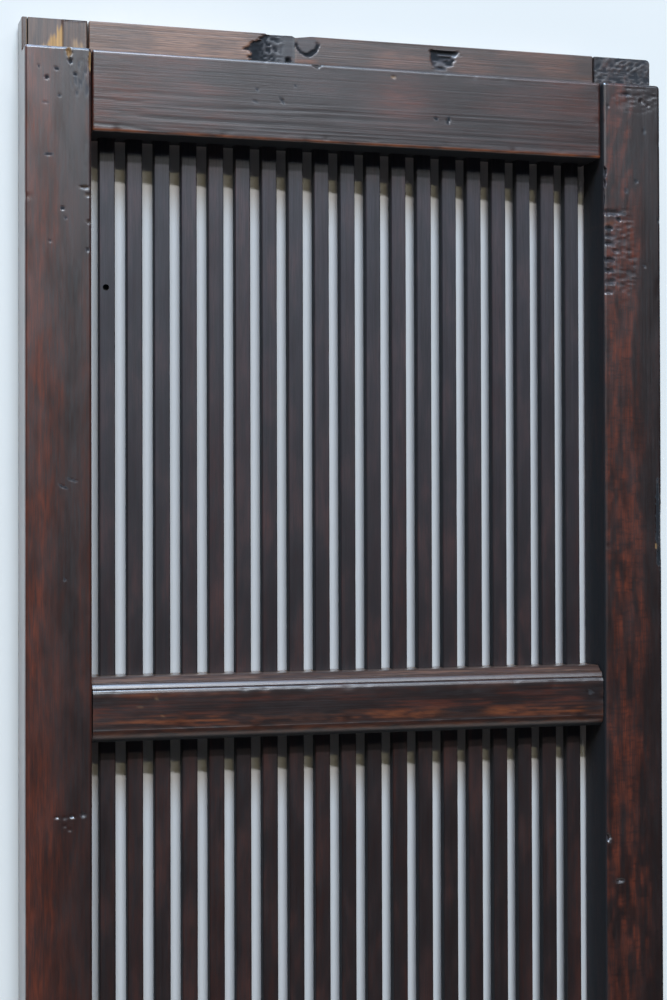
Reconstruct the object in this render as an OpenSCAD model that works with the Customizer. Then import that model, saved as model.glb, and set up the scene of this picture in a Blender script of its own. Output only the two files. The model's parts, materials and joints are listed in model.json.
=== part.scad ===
// One leaf of an old sliding lattice door: two stiles, a top rail with a track tongue,
// moulded mid rails, a bottom rail and a row of thin slats that run through the mid rails.
// Millimetres. +Z is up, the front faces -Y, and the origin is the middle of the foot.

/* [Leaf] */
// Width over both stiles
leaf_w = 440; // [400:1:600]
// Height from the foot to the top of the tongue
leaf_h = 1700; // [1500:5:1900]
// Thickness of the stiles
leaf_t = 36; // [34:0.5:45]

/* [Stiles] */
// Width of each stile
stile_w = 42.5; // [38:0.5:60]
// Bevel along the long edges of the stiles
stile_bevel = 1.5; // [0.5:0.1:3]
// Worn round at the top outer corner of the right stile
worn_corner_r = 5; // [2:0.5:10]

/* [Track tongues] */
// Height of the tongue that runs in the head track
tongue_h = 21.5; // [12:0.5:30]
// How far the tongues sit behind the front of the stiles
tongue_setback = 16; // [12:0.5:18]
// Height of the tongue that runs in the sill track
foot_h = 5; // [3:0.5:12]

/* [Rails] */
// How far the rails sit behind the front of the stiles
rail_setback = 2.6; // [1:0.1:4]
// Height of the top rail below its tongue
top_rail_h = 52.5; // [44:0.5:80]
// Height of each mid rail over its mouldings
mid_rail_h = 41.5; // [40:0.5:60]
// Number of mid rails
mid_rail_count = 3; // [1:1:4]
// Height of the bottom rail with its tongue
bottom_rail_h = 100; // [70:1:160]
// Bevel along the front edges of the top and bottom rails
rail_bevel = 1.2; // [0.5:0.1:2.5]
// Open joint between a rail's shoulder and the stile, where the wood has shrunk
shoulder_gap = 0.9; // [0.2:0.1:1.5]

/* [Rail tenons] */
// Thickness of the tenons
tenon_t = 11; // [8:0.5:14]
// Length of the tenons
tenon_l = 30; // [18:1:34]
// How far the tenons sit behind the front of the stiles
tenon_setback = 14; // [13:0.5:16]
// Wood left above and below each tenon
tenon_shoulder = 9; // [6:0.5:12]
// Clearance beside a tenon or slat in its mortise
fit_gap = 0.15; // [0.05:0.05:0.3]
// Clearance past the end of a tenon or slat in its mortise
end_gap = 0.8; // [0.3:0.1:2]

/* [Lattice] */
// Number of slats
slat_count = 19; // [11:1:21]
// Width of each slat
slat_w = 10.4; // [8:0.1:12]
// Thickness of each slat
slat_t = 7; // [5:0.1:9]
// How far the slats sit behind the front of the stiles
slat_setback = 24; // [21:0.5:25]
// Gap between a stile and the slat beside it
side_gap = 8.7; // [5:0.1:14]
// Length of slat let into the top and bottom rails
slat_let_in = 12; // [8:0.5:20]
// Bevel along the edges of the slats
slat_bevel = 0.5; // [0.2:0.1:1]
// Diameter of the small blind hole bored in the first slat
peg_hole_d = 4.1; // [2:0.1:5]
// Depth of that hole
peg_hole_depth = 5; // [2:0.5:6]
// Height of that hole above the foot
peg_hole_z = 1528.5; // [1400:0.5:1600]
// Distance of that hole from the left edge of its slat
peg_hole_side = 4.4; // [4:0.1:6]

/* [Mid rail moulding] */
// Height of the round under-edge
under_round_r = 8; // [4:0.5:10]
// Height of the plain face between the under-edge and the top moulding
mould_flat_h = 23; // [16:0.5:24]
// Radius of the small bead above the face
bead_r = 1.2; // [0.8:0.1:2]
// Radius of the quarter round above the bead
ovolo_r = 3.6; // [2.5:0.1:4.5]
// Depth that the sloping top runs back behind the quarter round
slope_run = 4.2; // [2:0.1:6]
// Width and depth of the fine grooves between the mouldings
quirk = 0.5; // [0.3:0.1:0.8]

/* [Wear] */
// Distance of the split in the left stile's tongue from the left edge of the leaf
split_x = 3.4; // [2:0.1:8]
// Width of that split
split_w = 0.7; // [0.3:0.1:1.5]
// Depth of that split
split_depth = 7; // [2:0.5:12]
// Distance of the dead knot's hollow from the left edge of the leaf
hollow_x = 164.5; // [100:0.5:250]
// Length of that hollow
hollow_l = 32; // [20:1:50]
// Depth of that hollow in the tongue
hollow_depth = 4; // [1:0.5:6]
// Length of the step worn in the tongue's top edge beside the hollow
notch_l = 13.5; // [5:0.5:25]
// Depth of that step
notch_depth = 1.8; // [0.5:0.1:4]
// Distance of the torn gouge in the tongue from the left edge of the leaf
gouge_x = 286.5; // [200:0.5:320]
// Length of that gouge
gouge_l = 22; // [10:1:40]
// Depth of that gouge
gouge_depth = 2.5; // [0.5:0.5:5]
// Distance of the chip in the top rail's front edge from the left edge of the leaf
chip_x = 192.5; // [100:0.5:300]
// Depth of that chip
chip_depth = 2; // [0.5:0.1:4]
// Height above the foot of the torn stretch on the right stile's inner edge
torn_z = 1572; // [1450:1:1600]
// Length of that torn stretch
torn_l = 74; // [30:1:120]
// Depth of that torn stretch
torn_depth = 2.2; // [0.5:0.1:4]

/* [Hidden] */
$fn = 48;
wood_dark = "#4a3330";
wood_rail = "#54403c";
wood_slat = "#38302f";

front = -leaf_t / 2;
back = leaf_t / 2;
opening_w = leaf_w - 2 * stile_w;
rail_front = front + rail_setback;
tongue_front = front + tongue_setback;
slat_front = front + slat_setback;
tenon_front = front + tenon_setback;
rail_end = opening_w / 2 - shoulder_gap;

shoulder_z = leaf_h - tongue_h;
top_rail_z = shoulder_z - top_rail_h;
panel_h = (top_rail_z - bottom_rail_h - mid_rail_count * mid_rail_h) / (mid_rail_count + 1);
slat_pitch = (opening_w - 2 * side_gap - slat_w) / (slat_count - 1);
slat_z = bottom_rail_h - slat_let_in;
slat_l = top_rail_z + slat_let_in - slat_z;

// A cutter runs this far past the face that it opens
past = 1;
// Radii of the round-bottomed scoops that stand for torn and rotten wood
hollow_r = 14;
gouge_r = 10;
chip_r = 9;
torn_r = 12;
wear_z = (leaf_h + shoulder_z) / 2;

function mid_rail_z(i) = top_rail_z - i * (panel_h + mid_rail_h);
function slat_x(i) = -opening_w / 2 + side_gap + (i - 1) * slat_pitch;
function slat_name(i) = str("slat_", i < 10 ? "0" : "", i);
function mid_rail_name(i) = str("mid_rail_", i);

// Bottom edge and height of every rail, from the top down, for the stiles' mortises
RAILS = concat(
    [[top_rail_z, top_rail_h]],
    [for (i = [1 : mid_rail_count]) [mid_rail_z(i), mid_rail_h]],
    [[0, bottom_rail_h]]
);

// Corners of a w by d section with all four edges bevelled by c
function bevelled(w, d, c) = [
    [c, 0], [w - c, 0], [w, c], [w, d - c], [w - c, d], [c, d], [0, d - c], [0, c]
];

// A round-ended scoop of radius r and length l along X, centred
module scoop(r, l) {
    reach = max(l / 2 - r, 0.5);
    rotate([0, 90, 0]) cylinder(r = r, h = 2 * reach, center = true);
    for (side = [-1, 1]) translate([side * reach, 0, 0]) sphere(r = r);
}

// Extrudes a profile drawn in (depth, height) along X, from -half to half
module run_across(half) {
    translate([-half, 0, 0]) rotate([90, 0, 90]) linear_extrude(2 * half) children();
}

// The tenons at both ends of a rail, or with gaps the mortises that take them
module tenons(z, h, side = 0, end = 0) {
    tip = opening_w / 2 + tenon_l + end;
    translate([-tip, tenon_front - side, z + tenon_shoulder - side])
        cube([2 * tip, tenon_t + 2 * side, h - 2 * tenon_shoulder + 2 * side]);
}

// Clears the strips in front of the tongues at the head and the foot
module tongue_rabbets() {
    for (z = [shoulder_z, -past])
        translate([-leaf_w / 2 - past, front - past, z])
            cube([leaf_w + 2 * past, tongue_setback + past, (z < 0 ? foot_h : tongue_h) + past]);
}

// The row of holes that takes the slats, from height z up through h
module slat_holes(z, h) {
    for (i = [1 : slat_count])
        translate([slat_x(i) - fit_gap, slat_front - fit_gap, z])
            cube([slat_w + 2 * fit_gap, slat_t + 2 * fit_gap, h]);
}

// A stile standing on the leaf's left or right, before wear
module stile(x) {
    difference() {
        translate([x, front, 0]) linear_extrude(leaf_h) polygon(bevelled(stile_w, leaf_t, stile_bevel));
        tongue_rabbets();
        for (rail = RAILS) tenons(rail[0], rail[1], fit_gap, end_gap);
    }
}

module left_stile() {
    color(wood_dark) difference() {
        stile(-leaf_w / 2);
        translate([-leaf_w / 2 + split_x, tongue_front - past, shoulder_z])
            cube([split_w, split_depth + past, tongue_h + past]);
    }
}

module right_stile() {
    color(wood_dark) difference() {
        stile(leaf_w / 2 - stile_w);
        for (z = [leaf_h, shoulder_z]) worn_corner(z, z == leaf_h ? tongue_front : front);
        translate([opening_w / 2, front - torn_r + torn_depth, torn_z])
            rotate([0, 90, 0]) scoop(torn_r, torn_l);
    }
}

// Rounds the outer corner at height z, from depth y back to the next step
module worn_corner(z, y) {
    deep = z == leaf_h ? back - tongue_front : tongue_setback;
    translate([leaf_w / 2, y - past, z]) rotate([-90, 0, 0]) difference() {
        translate([-worn_corner_r, 0, 0])
            cube([worn_corner_r + past, worn_corner_r, deep + past]);
        translate([-worn_corner_r, worn_corner_r, -past])
            cylinder(r = worn_corner_r, h = deep + 3 * past);
    }
}

// Section of the top rail: bevelled front, rabbet and tongue
module top_rail_section() {
    polygon([
        [rail_front + rail_bevel, top_rail_z], [back, top_rail_z], [back, leaf_h],
        [tongue_front, leaf_h], [tongue_front, shoulder_z], [rail_front + rail_bevel, shoulder_z],
        [rail_front, shoulder_z - rail_bevel], [rail_front, top_rail_z + rail_bevel]
    ]);
}

module top_rail() {
    color(wood_rail) difference() {
        union() {
            run_across(rail_end) top_rail_section();
            tenons(top_rail_z, top_rail_h);
        }
        slat_holes(top_rail_z - past, slat_let_in + end_gap + past);
        top_rail_wear();
    }
}

// The dead knot's hollow with the step beside it, the torn gouge and the chipped front edge
module top_rail_wear() {
    left = -leaf_w / 2;
    translate([left + hollow_x, tongue_front - hollow_r + hollow_depth, wear_z]) scoop(hollow_r, hollow_l);
    translate([left + gouge_x, tongue_front - gouge_r + gouge_depth, wear_z]) scoop(gouge_r, gouge_l);
    translate([left + hollow_x + hollow_l / 2, back + past, leaf_h]) rotate([90, 0, 0])
        linear_extrude(back - tongue_front + 2 * past)
            polygon([[0, past], [0, -notch_depth], [notch_l, 0], [notch_l, past]]);
    translate([left + chip_x, rail_front, shoulder_z + chip_r - chip_depth]) sphere(r = chip_r);
}

// Section of a mid rail: round under-edge, plain face, bead, quarter round and sloping top
module mid_rail_section() {
    depth = back - rail_front;
    bead_z = under_round_r + quirk + mould_flat_h;
    ovolo_z = bead_z + 2 * bead_r + quirk;
    slope_z = ovolo_z + ovolo_r + quirk;
    difference() {
        square([depth, mid_rail_h]);
        difference() {
            translate([-past, -past]) square([under_round_r + past, under_round_r + past]);
            translate([under_round_r, under_round_r]) circle(under_round_r);
        }
        translate([-past, under_round_r]) square([quirk + past, quirk]);
        difference() {
            translate([-past, bead_z]) square([bead_r + past, 2 * bead_r]);
            translate([bead_r, bead_z + bead_r]) circle(bead_r);
        }
        translate([-past, ovolo_z - quirk]) square([bead_r + quirk + past, quirk]);
        difference() {
            translate([-past, ovolo_z]) square([bead_r + ovolo_r + past, ovolo_r]);
            translate([bead_r + ovolo_r, ovolo_z]) circle(ovolo_r);
        }
        translate([-past, slope_z - quirk]) square([bead_r + ovolo_r + quirk + past, quirk]);
        polygon([
            [-past, slope_z], [bead_r + ovolo_r, slope_z],
            [bead_r + ovolo_r + slope_run, mid_rail_h], [bead_r + ovolo_r + slope_run, mid_rail_h + past],
            [-past, mid_rail_h + past]
        ]);
    }
}

module mid_rail(i) {
    z = mid_rail_z(i);
    color(wood_rail) difference() {
        union() {
            translate([0, rail_front, z]) run_across(rail_end) mid_rail_section();
            tenons(z, mid_rail_h);
        }
        slat_holes(z - past, mid_rail_h + 2 * past);
    }
}

// Section of the bottom rail: bevelled front edges over the foot tongue
module bottom_rail_section() {
    polygon([
        [tongue_front, 0], [back, 0], [back, bottom_rail_h], [rail_front + rail_bevel, bottom_rail_h],
        [rail_front, bottom_rail_h - rail_bevel], [rail_front, foot_h + rail_bevel],
        [rail_front + rail_bevel, foot_h], [tongue_front, foot_h]
    ]);
}

module bottom_rail() {
    color(wood_rail) difference() {
        union() {
            run_across(rail_end) bottom_rail_section();
            tenons(0, bottom_rail_h);
        }
        slat_holes(slat_z - end_gap, slat_let_in + end_gap + past);
    }
}

module slat(i) {
    color(wood_slat) difference() {
        translate([slat_x(i), slat_front, slat_z])
            linear_extrude(slat_l) polygon(bevelled(slat_w, slat_t, slat_bevel));
        if (i == 1)
            translate([slat_x(i) + peg_hole_side, slat_front - past, peg_hole_z])
                rotate([-90, 0, 0]) cylinder(d = peg_hole_d, h = peg_hole_depth + past);
    }
}

left_stile();
right_stile();
top_rail();
for (i = [1 : mid_rail_count])
    mid_rail(i);
bottom_rail();
for (i = [1 : slat_count])
    slat(i);
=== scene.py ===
"""One leaf of an old sliding lattice door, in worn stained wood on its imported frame.

Every stile, rail and slat of the frame is modelled again here as a dense mesh, so that wear,
grain, nicks and torn wood are real relief. Shapes are worked out in millimetres; properties and
meshes hold metres.
"""

import itertools
import json
import math
from collections import namedtuple

import bmesh
import bpy
import numpy as np
from bpy.props import FloatProperty, FloatVectorProperty, IntProperty, PointerProperty
from mathutils import Matrix, Vector

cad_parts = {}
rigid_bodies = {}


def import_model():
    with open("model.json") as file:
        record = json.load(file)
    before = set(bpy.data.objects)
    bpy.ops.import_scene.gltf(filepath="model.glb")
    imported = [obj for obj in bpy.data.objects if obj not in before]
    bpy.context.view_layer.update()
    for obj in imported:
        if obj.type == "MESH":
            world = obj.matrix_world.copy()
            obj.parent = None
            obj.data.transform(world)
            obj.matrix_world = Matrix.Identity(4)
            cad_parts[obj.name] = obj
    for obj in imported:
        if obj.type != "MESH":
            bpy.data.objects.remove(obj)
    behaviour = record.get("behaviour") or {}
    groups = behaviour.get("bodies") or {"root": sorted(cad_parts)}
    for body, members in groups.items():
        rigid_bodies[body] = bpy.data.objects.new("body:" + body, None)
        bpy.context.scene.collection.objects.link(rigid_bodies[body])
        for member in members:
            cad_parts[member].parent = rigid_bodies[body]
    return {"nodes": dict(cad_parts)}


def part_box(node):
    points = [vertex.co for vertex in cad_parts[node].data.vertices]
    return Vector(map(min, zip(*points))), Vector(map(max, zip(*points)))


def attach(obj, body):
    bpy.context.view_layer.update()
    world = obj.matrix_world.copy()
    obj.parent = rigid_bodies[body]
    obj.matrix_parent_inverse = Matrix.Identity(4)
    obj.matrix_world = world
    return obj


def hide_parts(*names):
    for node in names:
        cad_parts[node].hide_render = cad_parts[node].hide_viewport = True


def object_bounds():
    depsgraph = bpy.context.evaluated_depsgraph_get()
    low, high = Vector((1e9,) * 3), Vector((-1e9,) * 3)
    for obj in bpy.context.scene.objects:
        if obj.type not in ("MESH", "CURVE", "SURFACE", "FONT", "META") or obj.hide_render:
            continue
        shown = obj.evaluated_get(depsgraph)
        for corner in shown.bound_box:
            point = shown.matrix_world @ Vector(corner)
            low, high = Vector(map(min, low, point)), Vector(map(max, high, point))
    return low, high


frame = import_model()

bl_info = {
    "name": "Lattice Door Leaf",
    "version": (1, 0, 0),
    "blender": (4, 5, 0),
    "location": "View3D > Sidebar > Lattice Door",
    "description": "Builds an old sliding lattice door leaf in worn stained wood",
    "category": "Add Mesh",
}

MM = 0.001
X, Y, Z = 0, 1, 2
CAD_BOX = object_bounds()
SLATS = sorted(name for name in frame["nodes"] if name.startswith("slat_"))
MID_RAILS = sorted(name for name in frame["nodes"] if name.startswith("mid_rail_"))
RAILS = ["top_rail", *MID_RAILS, "bottom_rail"]

# Colour attributes that every piece carries, with what their three channels hold; the aged channel also lays
# painted sheen and highlights, and the rot channel painted shade
LAYERS = {"wear": ("rub", "bare", "rot"), "tone": ("red", "aged_and_sheen", "dark")}
# How close, in millimetres, an edge or face lies to the plane that it is picked by
NEAR = 0.1
# Rows of faces up a tongue, and the share of the arris round that sheltered edges have
TONGUE_ROWS = 7
SHELTERED = 0.35
# Depth of the blind mortises that take the ends of the slats, in millimetres
SLAT_MORTISE = 12.8
# How far a cutting tool stands out of the wood that it cuts, in millimetres
PROUD = 2
# Faces that meet at less than this are shaded as one
SMOOTH_ANGLE = math.radians(40)
# Colour sockets of a Mix node
MIX_SHARE, MIX_FROM, MIX_TO, MIX_RESULT = 0, 6, 7, 2


def linear_colour(text):
    """Turns an sRGB hex value such as 4a3330 into linear red, green and blue."""
    channels = [int(text[i : i + 2], 16) / 255 for i in (0, 2, 4)]
    return [c / 12.92 if c <= 0.04045 else ((c + 0.055) / 1.055) ** 2.4 for c in channels]


def box_mm(node):
    """The lowest and highest corner of a frame node, in millimetres."""
    return [[value / MM for value in corner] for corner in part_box(node)]


def length(name, description, millimetres):
    """A property for a length, given in millimetres."""
    return FloatProperty(name=name, description=description, default=millimetres * MM, unit="LENGTH")


def power(name, description, watts):
    """A property for the power of a lamp."""
    return FloatProperty(name=name, description=description, default=watts, unit="POWER")


def colour(name, description, text):
    """A property for a colour, given as an sRGB hex value."""
    return FloatVectorProperty(
        name=name, description=description, default=linear_colour(text), subtype="COLOR", min=0, max=1
    )


class LeafSizes(bpy.types.PropertyGroup):
    """Sizes of the joinery that the frame's boxes don't give."""

    tongue_height: length("Tongue height", "Height of the head tongue above the shoulder", 21.5)
    tongue_setback: length("Tongue setback", "Depth of the tongues behind the stiles' front", 16)
    foot_height: length("Foot height", "Height of the foot tongue", 5)
    shoulder_gap: length("Shoulder gap", "Open joint between a rail and a stile", 0.9)
    tenon_setback: length("Tenon setback", "Depth of the tenons behind the stiles' front", 14)
    tenon_thickness: length("Tenon thickness", "Thickness of the rail tenons", 11)
    tenon_shoulder: length("Tenon shoulder", "Wood above and below each tenon", 9)
    mortise_gap: length("Mortise gap", "Room beside a tenon in its mortise", 0.15)
    slot_gap: length("Slot gap", "Room beside a slat in its slot", 0.4)
    under_round: length("Under-edge round", "Radius of the mid rails' lower edge", 8)
    face_height: length("Face height", "Height of the mid rails' plain face", 23)
    bead: length("Bead", "Half the height of the worn bead on the mid rails", 1.2)
    ovolo: length("Quarter round", "Height and depth of the mid rails' worn quarter round", 3.6)
    slope_run: length("Slope run", "Depth of the mid rails' sloping top", 4.2)
    quirk: length("Quirk", "Width and depth of the fine grooves in the moulding", 0.5)
    peg_hole: length("Peg hole", "Diameter of the blind hole in the first slat", 4.1)
    peg_hole_depth: length("Peg hole depth", "Depth of the blind hole in the first slat", 5)


class LeafWear(bpy.types.PropertyGroup):
    """How far the wood has worn."""

    relief: length("Grain relief", "Height of the raised grain", 0.04)
    warp: length("Warp", "Slow waviness of the planed faces", 0.35)
    nick: length("Nick depth", "Deepest of the small nicks along the arrises", 0.35)
    arris: length("Arris round", "Round of the long edges of stiles and rails", 1.5)
    slat_arris: length("Slat arris", "Round of the slats' long edges", 0.6)
    corner: length("Worn corner", "Round of the right stile's top outer corner", 2.75)
    seed: IntProperty(name="Seed", description="Start of every wear pattern", default=7, min=0)


class LeafColours(bpy.types.PropertyGroup):
    """Colours of the stained wood, from intact finish to bare and rotten wood."""

    stain: colour("Stain", "Dark stain in the closed grain", "150b09")
    brown: colour("Brown", "Lighter wood of the open grain", "331910")
    red: colour("Red", "Patches where the red-brown wood shows through", "6a301c")
    rubbed: colour("Rubbed", "Arrises rubbed through to red-brown wood", "7a4220")
    # Also used for a painted highlight on the mid rails' moulding
    aged_and_sheen: colour("Aged wood", "Dry grey-brown wood that has lost its finish", "9c7660")
    # Grey that lightens the upper slats: partly dust, partly painted sheen
    dust_and_sheen: colour("Dust", "Grey bloom on the upper slats", "55555f")
    bare: colour("Bare wood", "Fresh broken wood", "cf9f5c")
    # Also the painted shade on side faces and undersides
    rotten_and_shade: colour("Rotten wood", "Rot, bark and deep cracks", "0b0b0e")
    slat: colour("Slat", "Dull dark slats", "1e1716")
    backdrop: colour("Backdrop", "Pale board behind the leaf", "eaeae5")
    # Painted shade: the card between the slats is greyer than the backdrop
    shaded_backing: colour("Backing", "Grey card behind the slats", "d3d2d0")
    floor: colour("Floor", "Pale floor", "b0a89c")


class LeafStage(bpy.types.PropertyGroup):
    """Camera and light; powers in watts."""

    lens: FloatProperty(
        name="Lens", description="Focal length on a 36 mm sensor", default=69.5, unit="CAMERA"
    )
    key: power("White tube", "Power of the long white tube", 345)
    warm: power("Warm tube", "Power of the lower warm tube", 44)
    panel: power("Blue panel", "Power of the soft panel overhead", 380)
    low: power("Low panel", "Power of the panel mirrored in the varnish", 62)
    ceiling: power("Ceiling", "Power of the panel above the leaf", 22)
    behind: power("Back lamp", "Power of the lamp behind the leaf", 32)
    sky: FloatProperty(
        name="Sky", description="Strength of the even light all round", default=0.02
    )
    key_tint: colour("White tint", "Colour of the long white tube", "fafaff")
    warm_tint: colour("Warm tint", "Colour of the lower warm tube", "fff0c0")
    sky_tint: colour("Blue tint", "Colour of the soft panel and the sky", "badcff")


# Shaping in edit mode


def select_only(piece):
    """Makes a piece the one selected and active object."""
    bpy.ops.object.select_all(action="DESELECT")
    bpy.context.view_layer.objects.active = piece
    piece.select_set(True)


def start_block(name, low, high):
    """Adds a cuboid between two corners and opens it in edit mode."""
    bpy.ops.object.select_all(action="DESELECT")
    middle = [(a + b) / 2 * MM for a, b in zip(low, high)]
    bpy.ops.mesh.primitive_cube_add(size=1, location=middle)
    piece = bpy.context.object
    piece.name = piece.data.name = name
    piece.scale = [(b - a) * MM for a, b in zip(low, high)]
    bpy.ops.object.transform_apply(location=True, rotation=True, scale=True)
    bpy.ops.object.mode_set(mode="EDIT")
    return piece


def cut(axis, places):
    """Cuts the open mesh across an axis at each place."""
    normal = [float(i == axis) for i in range(3)]
    for place in places:
        bpy.ops.mesh.select_all(action="SELECT")
        bpy.ops.mesh.bisect(plane_co=[place * MM * n for n in normal], plane_no=normal)


def spread(low, high, cells):
    """The places that divide a length into equal cells, without its ends."""
    return [low + (high - low) * i / cells for i in range(1, cells)]


def pick(kind, test):
    """Selects the open mesh's faces, edges or vertices that pass a test."""
    bpy.ops.mesh.select_mode(type=kind)
    bpy.ops.mesh.select_all(action="DESELECT")
    data = bpy.context.edit_object.data
    mesh = bmesh.from_edit_mesh(data)
    items = {"FACE": mesh.faces, "EDGE": mesh.edges, "VERT": mesh.verts}[kind]
    for item in items:
        item.select_set(bool(test(item)))
    mesh.select_flush_mode()
    bmesh.update_edit_mesh(data)


def pull(face_test, axis, distance):
    """Extrudes the faces that pass a test along an axis."""
    pick("FACE", face_test)
    shift = [distance * MM * (i == axis) for i in range(3)]
    bpy.ops.mesh.extrude_region_move(TRANSFORM_OT_translate={"value": shift})


def round_edges(edge_test, width, segments):
    """Bevels the outward edges that pass a test."""
    pick("EDGE", lambda edge: is_outward(edge) and edge_test(edge))
    bpy.ops.mesh.bevel(offset=width * MM, segments=segments, profile=0.5, affect="EDGES")


def is_outward(edge):
    return len(edge.link_faces) == 2 and edge.calc_face_angle_signed(0) > 1


def spot(item, axis):
    """An edge's or face's middle along an axis, in millimetres."""
    return sum(vert.co[axis] for vert in item.verts) / len(item.verts) / MM


def close_block(piece, levels):
    """Leaves edit mode and divides every face evenly."""
    bpy.ops.object.mode_set(mode="OBJECT")
    finer = piece.modifiers.new("finer", "SUBSURF")
    finer.subdivision_type = "SIMPLE"
    finer.levels = finer.render_levels = levels
    bpy.ops.object.modifier_apply(modifier=finer.name)


def boxes_object(name, boxes):
    """One helper mesh of separate cuboids, for cutting joints."""
    for i, (low, high) in enumerate(boxes):
        start_block(f"{name}_{i}", low, high)
        bpy.ops.object.mode_set(mode="OBJECT")
    made = [bpy.data.objects[f"{name}_{i}"] for i in range(len(boxes))]
    for helper in made:
        helper.select_set(True)
    bpy.context.view_layer.objects.active = made[0]
    if len(made) > 1:
        bpy.ops.object.join()
    return made[0]


def combine(piece, helper, operation):
    """Joins or cuts a helper mesh, which is itself unworn, into a piece and removes the helper."""
    if "wear" in piece.data.color_attributes:
        for attribute in LAYERS:
            paint(helper.data, attribute, np.zeros((len(helper.data.vertices), 3)))
    joint = piece.modifiers.new("joint", "BOOLEAN")
    joint.operation = operation
    joint.solver = "MANIFOLD"
    joint.object = helper
    select_only(piece)
    bpy.ops.object.modifier_apply(modifier=joint.name)
    bpy.data.objects.remove(helper)


# Wear, worked on the dense meshes

Scar = namedtuple("Scar", "x z half_width half_height depth rot bare lean", defaults=(0.0, 0.0))
Tear = namedtuple("Tear", "x z half_width half_height depth grain_width grain_height rot")
# Whole numbers that mix a lattice corner into one key
CORNER_HASH = np.array([73856093, 19349663, 83492791])


def lattice_noise(points, seed):
    """Smooth noise from 0 to 1 at points spaced in lattice units."""
    base = np.floor(points).astype(np.int64)
    part = points - base
    part = part * part * (3 - 2 * part)
    total = np.zeros(len(points))
    for corner in itertools.product((0, 1), repeat=3):
        key = (base + corner) @ CORNER_HASH + seed * 1013904223
        key = (key ^ (key >> 13)) * 1274126177 & 0x7FFFFFFF
        value = ((key ^ (key >> 15)) & 0xFFFF) / 0xFFFF
        total += value * np.prod(np.where(corner, part, 1 - part), axis=1)
    return total


def fibre_noise(points, along, across_size, along_size, seed):
    """Noise drawn out along the grain."""
    sizes = np.full(3, float(across_size))
    sizes[along] = along_size
    return lattice_noise(points / sizes, seed)


def smooth(value, low, high):
    """Rises from 0 at low to 1 at high."""
    ratio = np.clip((value - low) / (high - low), 0, 1)
    return ratio * ratio * (3 - 2 * ratio)


def hill(*ratios):
    """1 at the middle, falling to 0 within a few widths."""
    return np.exp(-sum(ratio**2 for ratio in ratios))


def arris_closeness(points, planes, reach):
    """1 on an edge where two of the given planes meet, falling to 0 within reach."""
    gaps = [np.min(np.abs(points[:, [axis]] - np.array(planes[axis])), axis=1) for axis in (X, Y, Z)]
    gaps = np.sort(np.stack(gaps, axis=1), axis=1)
    return hill((gaps[:, 0] + gaps[:, 1]) / reach)


def paint(mesh, name, values):
    """Stores three values per point as a colour attribute."""
    made = mesh.color_attributes.new(name, "FLOAT_COLOR", "POINT")
    full = np.ones((len(values), 4))
    full[:, :3] = np.clip(values, 0, 1)
    made.data.foreach_set("color", full.ravel())


class Surface:
    """A piece's points in millimetres, with the wear that is being worked into them."""

    def __init__(self, piece):
        self.piece = piece
        vertices = piece.data.vertices
        read = {name: np.empty(len(vertices) * 3) for name in ("co", "normal")}
        for name, values in read.items():
            vertices.foreach_get(name, values)
        self.points = read["co"].reshape(-1, 3) / MM
        self.normals = read["normal"].reshape(-1, 3)
        self.facing = smooth(-self.normals[:, Y], 0.1, 0.5)
        self.inward = np.zeros(len(vertices))
        for layer in itertools.chain(*LAYERS.values()):
            setattr(self, layer, np.zeros(len(vertices)))

    def lay(self, layer, amount):
        """Lays wear or tone over what a layer has, keeping the stronger of the two."""
        setattr(self, layer, np.maximum(getattr(self, layer), amount))

    def age(self, along, planes, wear, seed, rub=0.0):
        """Raised grain, slow warp and nicked arrises, rubbed to a given share."""
        points = self.points
        grain = fibre_noise(points, along, 1.9, 160, seed)
        grain += 0.5 * fibre_noise(points, along, 1.1, 70, seed + 1)
        slow = fibre_noise(points, along, 40, 150, seed + 2)
        self.inward += wear.relief / MM * (grain - 0.75) + wear.warp / MM * (slow - 0.5)
        edge = arris_closeness(points, planes, 3.2)
        nicks = smooth(lattice_noise(points / 7, seed + 3), 0.66, 0.95)
        self.inward += wear.nick / MM * edge * nicks
        patchy = smooth(fibre_noise(points, along, 9, 45, seed + 5), 0.3, 0.8)
        self.lay("rub", rub * smooth(edge, 0.5, 0.95) * patchy)

    def scar(self, marks, seed):
        """Presses dents, pits and torn spots into the front faces."""
        ragged = 0.4 + 1.2 * lattice_noise(self.points / 1.4, seed)
        for mark in marks:
            up = (self.points[:, Z] - mark.z) / mark.half_height
            across = (self.points[:, X] - mark.x) / mark.half_width - mark.lean * up
            out = (across**2 + up**2) * ragged
            self.inward += mark.depth * np.clip(1 - out, 0, 1) ** 1.4 * self.facing
            stained = smooth(1.8 - out, 0, 0.9) * self.facing
            self.lay("rot", mark.rot * stained)
            self.lay("bare", mark.bare * stained)

    def tear(self, tears, seed):
        """Tears out ragged patches along the grain of the torn wood."""
        for number, patch in enumerate(tears):
            across = (self.points[:, X] - patch.x) / patch.half_width
            up = (self.points[:, Z] - patch.z) / patch.half_height
            inside = smooth(1 - across**2 - up**2, 0, 0.6) * self.facing
            flakes = self.points / (patch.grain_width, 4, patch.grain_height)
            torn = smooth(lattice_noise(flakes, seed + number), 0.38, 0.75) * inside
            self.inward += patch.depth * torn
            self.lay("rot", patch.rot * smooth(torn, 0.1, 0.8))

    def apply(self):
        """Moves the points and paints the wear and the tone as colour attributes."""
        moved = (self.points - self.normals * self.inward[:, None]) * MM
        mesh = self.piece.data
        mesh.vertices.foreach_set("co", moved.ravel())
        for attribute, layers in LAYERS.items():
            paint(mesh, attribute, np.stack([getattr(self, layer) for layer in layers], axis=1))
        mesh.update()


# Materials


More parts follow.
